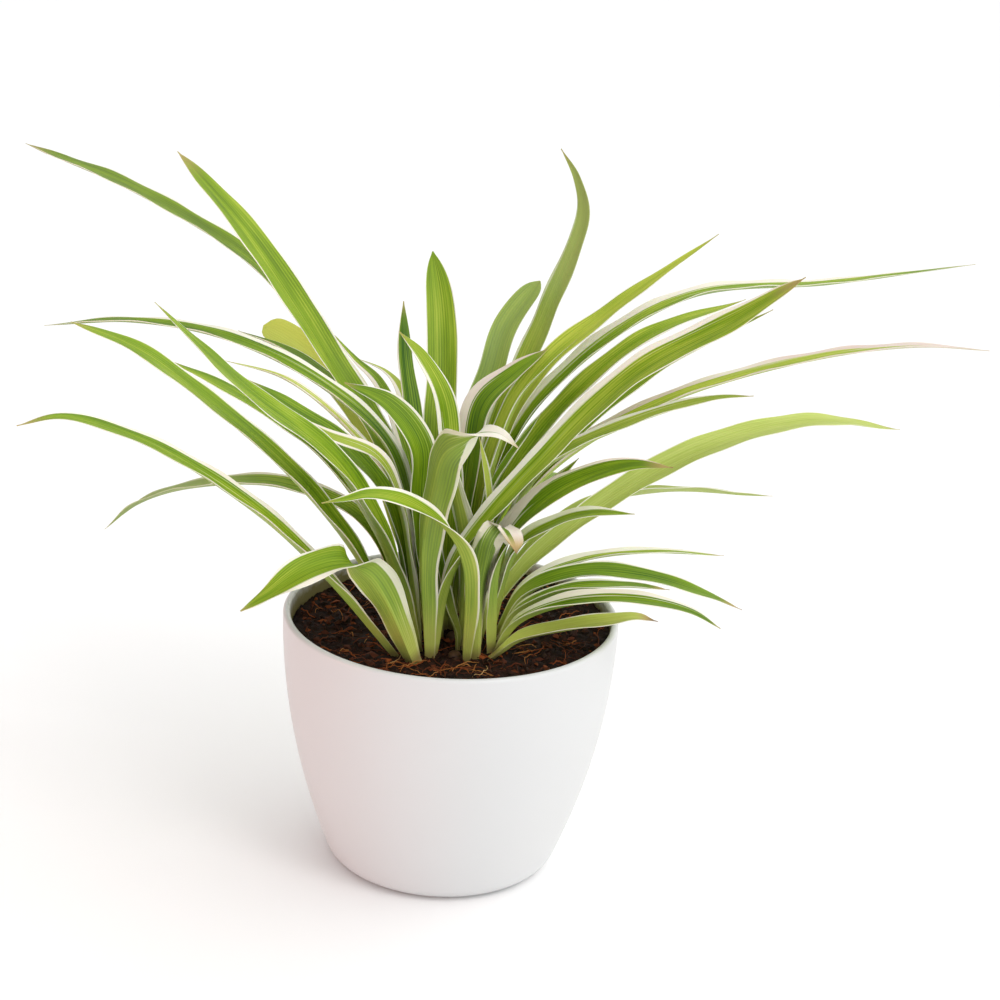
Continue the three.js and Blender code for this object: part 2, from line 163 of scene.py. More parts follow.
def moulded_polypropylene():
    """Satin white plastic from a polished mould: a soft, even sheen with a trace of unevenness.
    On the inner wall above the fill, specks of soil that cling there are mixed with painted
    shade that deepens towards the soil, in an olive that also paints the leaves' reflection."""
    material, tree = blank_material("moulded_polypropylene")
    place = add_node(tree, "NewGeometry").outputs["Position"]
    axes = add_node(tree, "SeparateXYZ", {0: place})
    flat = add_node(tree, "CombineXYZ", {"X": axes.outputs["X"], "Y": axes.outputs["Y"]})
    radius = add_node(tree, "VectorMath", {0: flat}, operation="LENGTH")
    inner_radius = (side_radius(DUST_AND_SHADE_MIDDLE) - WALL / 2) * MM
    inside = add_node(tree, "MapRange", {
        "Value": radius.outputs["Value"], "From Min": inner_radius, "From Max": inner_radius - 1 * MM})
    # Painted shade: the inner wall is darkened more and more towards the soil, on top of the speck
    # noise.
    low = add_node(tree, "MapRange", {
        "Value": axes.outputs["Z"], "From Min": DUST_AND_SHADE_TOP * MM,
        "From Max": DUST_AND_SHADE_DEEPEST * MM}, interpolation_type="SMOOTHSTEP")
    above_fill = add_node(tree, "Math", {
        0: axes.outputs["Z"], 1: DUST_AND_SHADE_BOTTOM * MM}, operation="GREATER_THAN")
    speck = add_node(tree, "TexNoise", {"Vector": place, "Scale": 1 / (2.5 * MM), "Detail": 4.0})
    reach = add_node(tree, "Math", {0: low, 1: 0.75}, operation="MULTIPLY")
    specks_and_shade = add_node(tree, "Math", {0: speck, 1: reach}, operation="ADD")
    specks_and_shade_share = add_node(tree, "MapRange", {
        "Value": specks_and_shade, "From Min": 0.45, "From Max": 1.05, "To Max": 0.9})
    masked = add_node(tree, "Math", {0: specks_and_shade_share, 1: inside}, operation="MULTIPLY")
    dust_and_shade = add_node(tree, "Math", {0: masked, 1: above_fill}, operation="MULTIPLY")
    cloud = add_node(tree, "TexNoise", {"Vector": place, "Scale": 1 / (60 * MM), "Detail": 1.0})
    white = add_node(tree, "MixRGB", {
        "Fac": cloud, "Color1": colour(POT_WHITE), "Color2": colour(POT_SHADED_WHITE)})
    # Mixes in the olive of the soil specks, the painted shade and the painted leaf reflection on the
    # inner wall.
    skin = add_node(tree, "MixRGB", {"Fac": dust_and_shade, "Color1": white, "Color2": colour(SOIL_DUST_AND_SHADE)})
    rough = add_node(tree, "MapRange", {"Value": cloud, "To Min": 0.32, "To Max": 0.42})
    peel = add_node(tree, "TexNoise", {"Vector": place, "Scale": 1 / (1.6 * MM), "Detail": 1.0})
    bump = add_node(tree, "Bump", {"Height": peel, "Strength": 0.04, "Distance": 0.1 * MM})
    shader = add_node(tree, "BsdfPrincipled", {
        "Base Color": skin, "Roughness": rough, "Normal": bump, "IOR": 1.49})
    add_node(tree, "OutputMaterial", {"Surface": shader})
    return material


def cut_holes(piece, radius, ring, count, low, high):
    """Bores round holes down through a piece, evenly round the pot's axis."""
    outline = [(0, low), (radius, low), (radius, high), (0, high)]
    cutter = mesh_piece("drain_cutter", *turned(outline, HOLE_SEGMENTS), piece.data.materials[0])
    for k in range(count):
        angle = math.radians(45 + 360 * k / count)
        cutter.location = Vector((ring * math.cos(angle), ring * math.sin(angle), 0)) * MM
        bore = piece.modifiers.new("bore", "BOOLEAN")
        bore.operation = "DIFFERENCE"
        bore.object = cutter
        bpy.context.view_layer.update()
        cut = piece.evaluated_get(bpy.context.evaluated_depsgraph_get())
        mesh = bpy.data.meshes.new_from_object(cut)
        piece.modifiers.clear()
        piece.data = mesh
    bpy.data.objects.remove(cutter)


lip = WALL / 2
lip_height = POT_HEIGHT - lip
hollow = foot_arc(WALL, FLOOR, 10)
pot_outline = [
    (0, 0),
    *foot_arc(0, 0, 14),
    *side_points(FOOT_HEIGHT, lip_height, 48, 0),
    *arc(side_radius(lip_height) - lip, lip_height, lip, 0, math.pi, 12)[1:-1],
    *reversed(side_points(hollow[-1][1], lip_height, 24, WALL)),
    *reversed(hollow),
    (0, FLOOR),
]
pot = mesh_piece("pot_body", *turned(pot_outline, POT_SEGMENTS), moulded_polypropylene())
cut_holes(pot, low=-2, high=FLOOR + 2, **DRAIN_HOLE)
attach(pot, "root")
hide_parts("pot")

# Soil. Moist coir and peat potting mix, poured round the roots and pressed by hand. Its skin is
# loose dark crumbs, and it is level and firm round the crowns.
FIT_GAP = 0.3
SOIL_HEIGHT = 93.6
SOIL_TILT = 0.03
CLUMP = {"x": -1, "y": -6, "reach": 31, "fade": 8}
SOIL_DARKS = ["#0e0704", "#22110a", "#3d1e10"]
LUMP = {"size": 3.4, "height": 2.2, "reach": 0.75}
GRAIN = {"size": 1.2, "height": 0.55}
SWELL = {"size": 13, "height": 0.9}
PRESSED = 0.45
LOOSE_RISE = 0.5
SOIL_RINGS = 84
SOIL_SEGMENTS = 300


def soil_level(x):
    """Height of the soil, which lies a little higher on the right."""
    return SOIL_HEIGHT + SOIL_TILT * x


def smooth(value):
    """Eases from 0 to 1 as the value goes from 0 to 1, and holds outside that."""
    held = np.clip(value, 0, 1)
    return held * held * (3 - 2 * held)


def crumb(x, y):
    """Height of the loose skin over the level of the soil, from lumps, grains and low swells,
    which are pressed flatter round the crowns."""
    distances = noise.voronoi(Vector((x / LUMP["size"], y / LUMP["size"], 0)))[0]
    lump = LUMP["height"] * max(0.0, LUMP["reach"] - distances[0])
    grain = GRAIN["height"] * noise.noise(Vector((x / GRAIN["size"], y / GRAIN["size"], 5)))
    swell = SWELL["height"] * noise.noise(Vector((x / SWELL["size"], y / SWELL["size"], 9)))
    from_clump = math.hypot(x - CLUMP["x"], y - CLUMP["y"])
    away = float(smooth((from_clump - CLUMP["reach"]) / CLUMP["fade"]))
    return (lump + grain + swell) * (PRESSED + (1 - PRESSED) * away) + LOOSE_RISE * away


def moist_coir():
    """Crumbly, almost black when moist, with rust showing where the light reaches a fibre's side.
    It is dull all over, with a faint wet glint."""
    material, tree = blank_material("moist_coir")
    place = add_node(tree, "NewGeometry").outputs["Position"]
    patch = add_node(tree, "TexNoise", {"Vector": place, "Scale": 1 / (7 * MM), "Detail": 5.0})
    grain = add_node(tree, "TexNoise", {"Vector": place, "Scale": 1 / (1.1 * MM), "Detail": 3.0})
    blend = add_node(tree, "MixRGB", {"Fac": 0.5, "Color1": patch, "Color2": grain})
    ramp = add_node(tree, "ValToRGB", {"Fac": blend})
    ramp.color_ramp.elements[0].position = 0.36
    ramp.color_ramp.elements[0].color = colour(SOIL_DARKS[0])
    ramp.color_ramp.elements[1].position = 0.68
    ramp.color_ramp.elements[1].color = colour(SOIL_DARKS[2])
    ramp.color_ramp.elements.new(0.52).color = colour(SOIL_DARKS[1])
    bump = add_node(tree, "Bump", {"Height": grain, "Strength": 0.7, "Distance": 0.5 * MM})
    shader = add_node(tree, "BsdfPrincipled", {
        "Base Color": ramp, "Roughness": 0.85, "Normal": bump, "Specular IOR Level": 0.2})
    add_node(tree, "OutputMaterial", {"Surface": shader})
    return material


soil_bottom = FLOOR + FIT_GAP
soil_foot = foot_arc(WALL + FIT_GAP, soil_bottom, 5)
soil_side = side_points(soil_foot[-1][1], SOIL_HEIGHT, 6, WALL + FIT_GAP)
soil_edge = soil_side[-1][0]
soil_top = [(soil_edge * ring / SOIL_RINGS, SOIL_HEIGHT) for ring in range(SOIL_RINGS - 1, -1, -1)]
soil_outline = [(0, soil_bottom), *soil_foot, *soil_side, *soil_top]
soil_points, soil_faces = turned(soil_outline, SOIL_SEGMENTS)
soil_points = [(x, y, soil_level(x) + crumb(x, y)) if z == SOIL_HEIGHT else (x, y, z)
               for x, y, z in soil_points]
soil = mesh_piece("soil_bed", soil_points, soil_faces, moist_coir())
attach(soil, "root")
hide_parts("soil")

# Litter on the soil. Chips and fibres of coconut husk, torn up by a mill and left lying in the
# crumbs at any turn, and near the front a few fine pale roots that have come up.
CHIP_COUNT = 1500
FIBRE_COUNT = 330
ROOT_COUNT = 9
LITTER_SEED = 41
STRAND_STEPS = 14
STRAND_SIDES = 6
WALL_CLEARANCE = 2
HUSK_CORNERS = [(1, 0, 0), (-1, 0, 0), (0, 1, 0), (0, -1, 0), (0, 0, 1), (0, 0, -1)]
HUSK_FACES = [(4, 0, 2), (4, 2, 1), (4, 1, 3), (4, 3, 0), (5, 2, 0), (5, 1, 2), (5, 3, 1), (5, 0, 3)]
HUSK_TINTS = [(0.0, "#150a06"), (0.35, "#33180c"), (0.6, "#602d13"),
              (0.8, "#914a1e"), (0.93, "#b1783f"), (1.0, "#d2ae76")]
draw = random.Random(LITTER_SEED)


def coir_bits():
    """Chips and fibres of coconut husk. Each one has its own shade between near black, rust and
    straw, which the mesh carries as its shade."""
    material, tree = blank_material("coir_bits")
    shade = add_node(tree, "Attribute", attribute_name="shade").outputs["Fac"]
    ramp = add_node(tree, "ValToRGB", {"Fac": shade})
    for position, tint in HUSK_TINTS[1:-1]:
        ramp.color_ramp.elements.new(position).color = colour(tint)
    ramp.color_ramp.elements[0].color = colour(HUSK_TINTS[0][1])
    ramp.color_ramp.elements[-1].color = colour(HUSK_TINTS[-1][1])
    place = add_node(tree, "NewGeometry").outputs["Position"]
    grain = add_node(tree, "TexNoise", {"Vector": place, "Scale": 1 / (0.8 * MM), "Detail": 3.0})
    bump = add_node(tree, "Bump", {"Height": grain, "Strength": 0.5, "Distance": 0.3 * MM})
    shader = add_node(tree, "BsdfPrincipled", {
        "Base Color": ramp, "Roughness": 0.8, "Normal": bump, "Specular IOR Level": 0.25})
    add_node(tree, "OutputMaterial", {"Surface": shader})
    return material


def mark(piece, name, values):
    """Stores one number for each point of a piece's mesh, for its material to read."""
    layer = piece.data.attributes.new(name, "FLOAT", "POINT")
    layer.data.foreach_set("value", np.asarray(values, np.float32))


def tube(points, radii, sides):
    """Points and faces of a closed round strand along a line of points."""
    line = np.asarray(points, float)
    along = np.gradient(line, axis=0)
    along /= np.linalg.norm(along, axis=1)[:, None]
    across = np.cross(along, [0.0, 0.0, 1.0])
    across /= np.maximum(np.linalg.norm(across, axis=1), 1e-6)[:, None]
    over = np.cross(across, along)
    vertices = []
    for i, radius in enumerate(radii):
        for k in range(sides):
            angle = 2 * math.pi * k / sides
            out = math.cos(angle) * across[i] + math.sin(angle) * over[i]
            vertices.append(line[i] + radius * out)
    faces = []
    for i in range(len(line) - 1):
        for k in range(sides):
            a = i * sides + k
            b = i * sides + (k + 1) % sides
            faces.append((a, b, b + sides, a + sides))
    faces.append(tuple(reversed(range(sides))))
    faces.append(tuple(range(len(vertices) - sides, len(vertices))))
    return vertices, faces


def joined(name, parts, material):
    """One piece from many small bodies, each given as its points, its faces and its shade."""
    vertices = []
    faces = []
    shades = []
    for points, skin, shade in parts:
        base = len(vertices)
        vertices += [tuple(p) for p in points]
        faces += [tuple(base + i for i in face) for face in skin]
        shades += [shade] * len(points)
    piece = mesh_piece(name, vertices, faces, material)
    mark(piece, "shade", shades)
    return piece


def spot_on_soil(margin):
    """A random place on the soil, even over its area, and clear of the pot's wall by the margin."""
    reach = (soil_edge - margin) * math.sqrt(draw.random())
    angle = draw.uniform(0, 2 * math.pi)
    return reach * math.cos(angle), reach * math.sin(angle)


def husk_chip():
    """A small torn block of husk, lying in the crumbs at any turn."""
    size = draw.uniform(0.42, 1.1) ** 2 * 1.4
    stretch = Vector((draw.uniform(0.7, 1.9), draw.uniform(0.6, 1.1), draw.uniform(0.45, 0.9)))
    heading = Matrix.Rotation(draw.uniform(0, 2 * math.pi), 3, "Z")
    turn = heading @ Matrix.Rotation(draw.uniform(-0.6, 0.6), 3, "X")
    x, y = spot_on_soil(margin=2.2)
    centre = Vector((x, y, soil_level(x) + crumb(x, y) + size * 0.2))
    points = []
    for corner in HUSK_CORNERS:
        jog = Vector([draw.uniform(-0.25, 0.25) for _ in range(3)])
        points.append(centre + turn @ ((Vector(corner) + jog) * size * stretch))
    return points, HUSK_FACES, 0.6 * draw.random() + 0.3 * draw.random() ** 3


def strand(x, y, heading, length, bend, radius, shade):
    """A fibre or root that wanders over the crumbs and thins out at both ends."""
    points = []
    radii = []
    lift = draw.uniform(0.2, 1.6)
    step = length / STRAND_STEPS
    for i in range(STRAND_STEPS):
        share = i / (STRAND_STEPS - 1)
        hop = lift * math.sin(math.pi * share)
        points.append((x, y, soil_level(x) + crumb(x, y) + radius + hop))
        radii.append(radius * (0.35 + 0.65 * math.sin(math.pi * min(1.0, 0.12 + 0.8 * share))))
        heading += bend / STRAND_STEPS + draw.uniform(-0.16, 0.16)
        off_centre = math.hypot(x + step * math.cos(heading), y + step * math.sin(heading))
        if off_centre > soil_edge - WALL_CLEARANCE:
            heading += math.pi * 0.75
        x += step * math.cos(heading)
        y += step * math.sin(heading)
    vertices, faces = tube(points, radii, STRAND_SIDES)
    return vertices, faces, shade


husk_look = coir_bits()
chips = joined("husk_chips", [husk_chip() for _ in range(CHIP_COUNT)], husk_look)
fibres = joined("husk_fibres", [
    strand(*spot_on_soil(margin=3), heading=draw.uniform(0, 6.3), length=draw.uniform(4, 17),
           bend=draw.uniform(-2.2, 2.2), radius=draw.uniform(0.1, 0.26),
           shade=0.35 + 0.6 * draw.random() ** 1.5)
    for _ in range(FIBRE_COUNT)], husk_look)
roots = joined("surface_roots", [
    strand(x=draw.uniform(-24, 10), y=draw.uniform(-47, -36), heading=draw.uniform(-1.5, 1.5),
           length=draw.uniform(6, 17), bend=draw.uniform(-2.4, 2.4),
           radius=draw.uniform(0.1, 0.22), shade=draw.uniform(0.75, 1.0))
    for _ in range(ROOT_COUNT)], husk_look)
for loose_bits in (chips, fibres, roots):
    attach(loose_bits, "root")
    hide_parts("soil")

# Crowns. The short root stocks that the tufts grow from: firm tissue under a dry brown husk, ringed
# by the scars of old leaves. They stand in the soil with their rounded tops just above it.
CROWN = {"radius": 2.6, "rise": 3, "depth": 18}
CROWN_PLACES = {"crown_left": (-15.5, -28), "crown_front": (2, -27),
                "crown_middle": (1, -9.5), "crown_back": (0, 4)}
CROWN_SEGMENTS = 32
SCAR_SPACING = 2.2
SCAR_DEPTH = 0.16
CROWN_TINTS = ["#3a2312", "#5a3819", "#27150a"]


def crown_tissue():
    """Dull brown husk over firm tissue: patchy, and darker in the scars that ring it."""
    material, tree = blank_material("crown_tissue")
    place = add_node(tree, "NewGeometry").outputs["Position"]
    patch = add_node(tree, "TexNoise", {"Vector": place, "Scale": 1 / (3 * MM), "Detail": 3.0})
    fresh = add_node(tree, "MixRGB", {
        "Fac": patch, "Color1": colour(CROWN_TINTS[0]), "Color2": colour(CROWN_TINTS[1])})
    height = add_node(tree, "SeparateXYZ", {0: place}).outputs["Z"]
    rings = add_node(tree, "Math", {
        0: height, 1: 2 * math.pi / (SCAR_SPACING * MM)}, operation="MULTIPLY")
    wave = add_node(tree, "Math", {0: rings}, operation="SINE")
    scar = add_node(tree, "MapRange", {"Value": wave, "From Min": 0.55, "To Max": 0.6})
    skin = add_node(tree, "MixRGB", {
        "Fac": scar, "Color1": fresh, "Color2": colour(CROWN_TINTS[2])})
    shader = add_node(tree, "BsdfPrincipled", {"Base Color": skin, "Roughness": 0.75})
    add_node(tree, "OutputMaterial", {"Surface": shader})
    return material


def crown_outline():
    """The stub's profile, with a shallow groove at each leaf scar."""
    bottom = SOIL_HEIGHT - CROWN["depth"]
    shoulder = SOIL_HEIGHT + CROWN["rise"] - CROWN["radius"]
    steps = 36
    heights = [bottom + (shoulder - bottom) * i / steps for i in range(steps + 1)]
    side = [(CROWN["radius"] - SCAR_DEPTH * (1 + math.sin(h * 2 * math.pi / SCAR_SPACING)), h)
            for h in heights]
    dome = arc(0, shoulder, CROWN["radius"], 0, math.pi / 2, 8)[1:-1]
    return [(0, bottom), *side, *dome, (0, shoulder + CROWN["radius"])]


crown_look = crown_tissue()
for crown_name, (crown_x, crown_y) in CROWN_PLACES.items():
    points, faces = turned(crown_outline(), CROWN_SEGMENTS)
    points = [(x + crown_x, y + crown_y, z) for x, y, z in points]
    crown = mesh_piece("stub_" + crown_name, points, faces, crown_look)
    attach(crown, "root")
    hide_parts(crown_name)

# Leaves at the back. Strap leaves grown in one piece from the crown: thin, folded along the
# midrib, arching under their own weight. Every leaf follows one law of growth, and its row says
# where it differs from the usual leaf.
USUAL_LEAF = {
    "facing": 0, "roll": 0, "twist": 0, "twist_over": (0.4, 0.8), "widest": 0.45, "taper": 2.6,
    "wave": 0.3, "tone": 0.5, "yellow": 0, "pink": 0.3, "dull": 0, "dry": 0, "fade": (0.75, 0.5),
    "pale": False}
BLADE = 0.8
FOOT_SHARE = 0.42
CHANNEL_AT_FOOT = 36
CHANNEL_AT_TIP = 14
ROLLED_BY = 0.35
ROOTED = 3.5
EDGE_THICKNESS = 0.25
RIB_THICKNESS = 0.75
FINEST_TIP = 0.5
POINTS_ACROSS = 15
STEP_ALONG = 2.0
RIPPLE_LENGTH = 27
LEAF_SEED = 8
OUTLINE_WANDER = 0.04
FOLD = 0.16
KEEL = {"height": 0.22, "width": 0.16}
VEIN_SPACING = 1.05
FINE_STREAKS = {"across": 0.6, "along": 70}
BROAD_CLOUDS = {"across": 5, "along": 32}
UNDER_SHARE = 0.3
LEAF_GREENS = ["#335b09", "#7b9a13", "#bbc648"]
PALE_GREENS = ["#93a343", "#b0be5a", "#c6d174"]
LEAF_YELLOW = "#ced25c"
LEAF_CREAM = "#f3f1e1"
LEAF_PINK = "#dbc8be"
# The leaf's own pale foot, made brighter as painted light against the shade low in the tufts.
PALE_FOOT_AND_PAINTED_LIGHT = "#d0d66c"
LEAF_UNDER = "#9aab66"
LEAF_TAN = "#b39a63"
LEAF_BROWN = "#7d5f42"


def leaf_tissue(name, greens):
    """Living leaf: satin, with fine ribs that run lengthwise. The green middle is streaked light
    and dark, the margins are cream and wander a little, the foot is pale, lighter still as painted
    light against the shade round the crowns, and the tip dries to tan."""
    material, tree = blank_material(name)
    grown = {}
    for trait in ("across", "reach", "span", "run", "margin",
                  "tone", "yellow", "pink", "dry", "under", "seed"):
        grown[trait] = add_node(tree, "Attribute", attribute_name=trait).outputs["Fac"]
    patterns = []
    shifts = []
    for size in (FINE_STREAKS, BROAD_CLOUDS):
        across = add_node(tree, "Math", {0: grown["span"], 1: 1 / size["across"]}, operation="MULTIPLY")
        along = add_node(tree, "Math", {0: grown["run"], 1: 1 / size["along"]}, operation="MULTIPLY")
        spot = add_node(tree, "CombineXYZ", {"X": across, "Y": along, "Z": grown["seed"]})
        pattern = add_node(tree, "TexNoise", {"Vector": spot, "Scale": 1.0, "Detail": 2.0})
        patterns.append(pattern)
        shifts.append(add_node(tree, "Math", {0: pattern, 1: 0.8, 2: -0.4}, operation="MULTIPLY_ADD"))
    streak, cloud = patterns
    both = add_node(tree, "Math", {0: shifts[0], 1: shifts[1]}, operation="ADD")
    vein_turns = add_node(tree, "Math", {
        0: grown["span"], 1: 2 * math.pi / VEIN_SPACING, 2: both}, operation="MULTIPLY_ADD")
    veins = add_node(tree, "Math", {0: vein_turns}, operation="SINE")
    veined = add_node(tree, "Math", {0: veins, 1: 0.1, 2: both}, operation="MULTIPLY_ADD")
    vigour = add_node(tree, "Math", {0: veined, 1: grown["tone"]}, operation="ADD", use_clamp=True)
    green = add_node(tree, "ValToRGB", {"Fac": vigour})
    green.color_ramp.elements[0].color = colour(greens[0])
    green.color_ramp.elements[1].color = colour(greens[2])
    green.color_ramp.elements.new(0.5).color = colour(greens[1])
    aged = add_node(tree, "MixRGB", {
        "Fac": grown["yellow"], "Color1": green, "Color2": colour(LEAF_YELLOW)})

    from_rib = add_node(tree, "Math", {0: grown["across"]}, operation="ABSOLUTE")
    from_edge = add_node(tree, "Math", {0: 1.0, 1: from_rib}, operation="SUBTRACT")
    wander = add_node(tree, "Math", {0: both, 1: 0.16, 2: from_edge}, operation="MULTIPLY_ADD")
    past_margin = add_node(tree, "Math", {0: wander, 1: grown["margin"]}, operation="SUBTRACT")
    cream = add_node(tree, "MapRange", {
        "Value": past_margin, "From Min": 0.03, "From Max": -0.015}, interpolation_type="SMOOTHSTEP")
    near_margin = add_node(tree, "MapRange", {
        "Value": past_margin, "From Min": 0.38, "From Max": 0.0, "To Max": 0.16})
    stripe = add_node(tree, "Math", {0: streak, 1: near_margin}, operation="ADD")
    stripes = add_node(tree, "MapRange", {
        "Value": stripe, "From Min": 0.66, "From Max": 0.76, "To Max": 0.75})
    width_left = add_node(tree, "MapRange", {
        "Value": grown["margin"], "From Min": 0.1, "From Max": 0.4})
    faint = add_node(tree, "Math", {0: stripes, 1: width_left}, operation="MULTIPLY")
    pale_share = add_node(tree, "Math", {0: cream, 1: faint}, operation="MAXIMUM")
    blush = add_node(tree, "Math", {0: cloud, 1: grown["pink"]}, operation="MULTIPLY")
    blushed = add_node(tree, "MixRGB", {
        "Fac": blush, "Color1": colour(LEAF_CREAM), "Color2": colour(LEAF_PINK)})
    bladed = add_node(tree, "MixRGB", {"Fac": pale_share, "Color1": aged, "Color2": blushed})

    lower_face = add_node(tree, "Math", {0: grown["under"], 1: UNDER_SHARE}, operation="MULTIPLY")
    faced = add_node(tree, "MixRGB", {
        "Fac": lower_face, "Color1": bladed, "Color2": colour(LEAF_UNDER)})
    to_tip = add_node(tree, "Math", {0: 1.0, 1: grown["reach"]}, operation="SUBTRACT")
    ragged = add_node(tree, "Math", {0: both, 1: 0.05, 2: to_tip}, operation="MULTIPLY_ADD")
    into_dry = add_node(tree, "Math", {0: grown["dry"], 1: ragged}, operation="SUBTRACT")
    # The pale foot is the leaf's own, brightened as painted light against the shade low in the tufts.
    coats = [(grown["run"], 30, 3, 0.75, PALE_FOOT_AND_PAINTED_LIGHT), (grown["run"], 6, 0, 0.7, LEAF_BROWN),
             (into_dry, -0.06, 0.03, 1, LEAF_TAN), (into_dry, 0.01, 0.07, 1, LEAF_BROWN)]
    skin = faced
    for measure, clear_at, full_at, strength, tint in coats:
        cover = add_node(tree, "MapRange", {
            "Value": measure, "From Min": clear_at, "From Max": full_at, "To Max": strength,
        }, interpolation_type="SMOOTHSTEP")
        skin = add_node(tree, "MixRGB", {"Fac": cover, "Color1": skin, "Color2": colour(tint)})

    relief = add_node(tree, "Math", {0: streak, 1: 1.4, 2: veins}, operation="MULTIPLY_ADD")
    bump = add_node(tree, "Bump", {"Height": relief, "Strength": 0.4, "Distance": 0.07 * MM})
    gloss = add_node(tree, "MapRange", {"Value": pale_share, "To Min": 0.47, "To Max": 0.6})
    shader = add_node(tree, "BsdfPrincipled", {
        "Base Color": skin, "Roughness": gloss, "Normal": bump, "IOR": 1.4,
        "Specular IOR Level": 0.35, "Subsurface Weight": 0.12,
        "Subsurface Radius": (0.6, 1.0, 0.25), "Subsurface Scale": 0.8 * MM})
    add_node(tree, "OutputMaterial", {"Surface": shader})
    return material


def midrib(leaf):
    """The leaf's centre line as many points: a centripetal spline through its foot and its path."""
    foot_x, foot_y = leaf["foot"]
    start = (foot_x, foot_y, soil_level(foot_x) + FIT_GAP + BLADE / 2)
    through = np.array([start, *leaf["path"]], float)
    reached = np.vstack([2 * through[0] - through[1], through, 2 * through[-1] - through[-2]])
    share = np.linspace(0, 1, 60, endpoint=False)[:, None]
    pieces = []
    for p0, p1, p2, p3 in zip(reached, reached[1:], reached[2:], reached[3:]):
        d0, d1, d2 = (math.sqrt(np.linalg.norm(b - a)) for a, b in ((p0, p1), (p1, p2), (p2, p3)))
        leave = ((p1 - p0) / d0 - (p2 - p0) / (d0 + d1) + (p2 - p1) / d1) * d1
        arrive = ((p2 - p1) / d1 - (p3 - p1) / (d1 + d2) + (p3 - p2) / d2) * d1
        bend = 3 * (p2 - p1) - 2 * leave - arrive
        ease = 2 * (p1 - p2) + leave + arrive
        pieces.append(p1 + leave * share + bend * share ** 2 + ease * share ** 3)
    return np.vstack([*pieces, through[-1:]])


def blade_width(leaf, share):
    """Narrow at the foot, widest before the middle, then a taper that is slender or blunt."""
    widest = leaf["widest"]
    rise = FOOT_SHARE + (1 - FOOT_SHARE) * np.sin(np.clip(share / widest, 0, 1) * math.pi / 2)
    fall = 1 - np.clip((share - widest) / (1 - widest), 0, 1) ** leaf["taper"]
    shrunk = 1 - 0.55 * smooth((share - 1 + leaf["dry"]) / max(leaf["dry"], 0.01))
    return np.maximum(FINEST_TIP, leaf["width"] * rise * fall * shrunk)


def blade_stations(leaf):
    """Stations along the midrib, closer at the tip: each one's centre, the ways that the blade's
    side and upper face point there, and its share of the length, with the length. The first two
    are a little under the soil."""
    line = midrib(leaf)
    steps = np.linalg.norm(np.diff(line, axis=0), axis=1)
    travelled = np.concatenate([[0], np.cumsum(steps)])
    length = travelled[-1]
    count = int(length / STEP_ALONG)
    even = np.arange(count + 1) / count
    share = 0.75 * even + 0.25 * np.sin(even * math.pi / 2)
    centre = np.stack([np.interp(share * length, travelled, line[:, k]) for k in range(3)], 1)
    slopes = np.gradient(line, travelled, axis=0)
    along = np.stack([np.interp(share * length, travelled, slopes[:, k]) for k in range(3)], 1)
    rooted = np.arange(-2, 0) * ROOTED / 2
    centre = np.vstack([centre[0] + rooted[:, None] * along[0] / np.linalg.norm(along[0]), centre])
    along = np.vstack([along[:1], along[:1], along])
    share = np.concatenate([[0, 0], share])
    along /= np.linalg.norm(along, axis=1)[:, None]

    outward = line[-1] - line[0]
    outward[2] = 0
    outward /= np.linalg.norm(outward)
    level = np.array([outward[1], -outward[0], 0])
    side = level - (along @ level)[:, None] * along
    side /= np.linalg.norm(side, axis=1)[:, None]
    up = np.cross(side, along)
    twist_start, twist_end = leaf["twist_over"]
    twisted = smooth((share - twist_start) / (twist_end - twist_start))
    rolled = leaf["roll"] * smooth(share / ROLLED_BY)
    turn = leaf["facing"] + rolled + leaf["twist"] * twisted
    turn = np.radians(turn)[:, None]
    side, up = side * np.cos(turn) + up * np.sin(turn), up * np.cos(turn) - side * np.sin(turn)
    return centre, side, up, share, length


def blade_skin(stations):
    """Faces of a closed blade, whose points run across the upper face and then across the lower
    one at each station."""
    wide = POINTS_ACROSS
    faces = []
    for i in range(stations - 1):
        top = 2 * wide * i
        low = top + wide
        next_top = top + 2 * wide
        next_low = low + 2 * wide
        for k in range(wide - 1):
            faces.append((top + k, top + k + 1, next_top + k + 1, next_top + k))
            faces.append((low + k + 1, low + k, next_low + k, next_low + k + 1))
        faces.append((low, top, next_top, next_low))
        faces.append((top + wide - 1, low + wide - 1, next_low + wide - 1, next_top + wide - 1))
    end = 2 * wide * (stations - 1)
    for k in range(wide - 1):
        faces.append((k, wide + k, wide + k + 1, k + 1))
        faces.append((end + k + 1, end + wide + k + 1, end + wide + k, end + k))
    return faces


